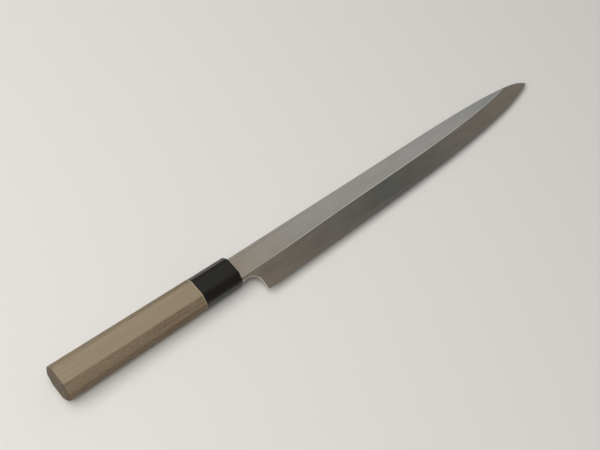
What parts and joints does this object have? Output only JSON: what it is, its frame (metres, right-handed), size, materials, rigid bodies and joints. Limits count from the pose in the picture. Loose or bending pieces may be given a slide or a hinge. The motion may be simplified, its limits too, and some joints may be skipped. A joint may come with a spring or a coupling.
{
  "type": "yanagiba knife",
  "caption": "Long narrow single-bevel slicing knife with a hollow-ground back, curved pointed tip, dark horn ferrule and tapered octagonal wooden handle.",
  "frame": {"origin": "under the centre of the knife's bounding box, in the plane of the handle's lower facet", "axes": "+X along the handle towards the blade's tip, +Y towards the spine, +Z out of the bevelled front of the blade, so that the knife lies on its handle's lower facet with the cutting edge towards -Y"},
  "size_m": [0.4594, 0.0394, 0.0214],
  "materials": {
    "soft_iron": "satin, ground along the blade",
    "hard_steel": "fine ground, brighter than the iron",
    "buffalo_horn": "polished black horn",
    "magnolia_wood": "sanded bare wood, straight fine grain"
  },
  "bodies": {
    "root": {"blade_body_and_tang": "soft_iron", "edge_steel": "hard_steel", "ferrule": "buffalo_horn", "handle": "magnolia_wood"}
  },
  "joints": []
}
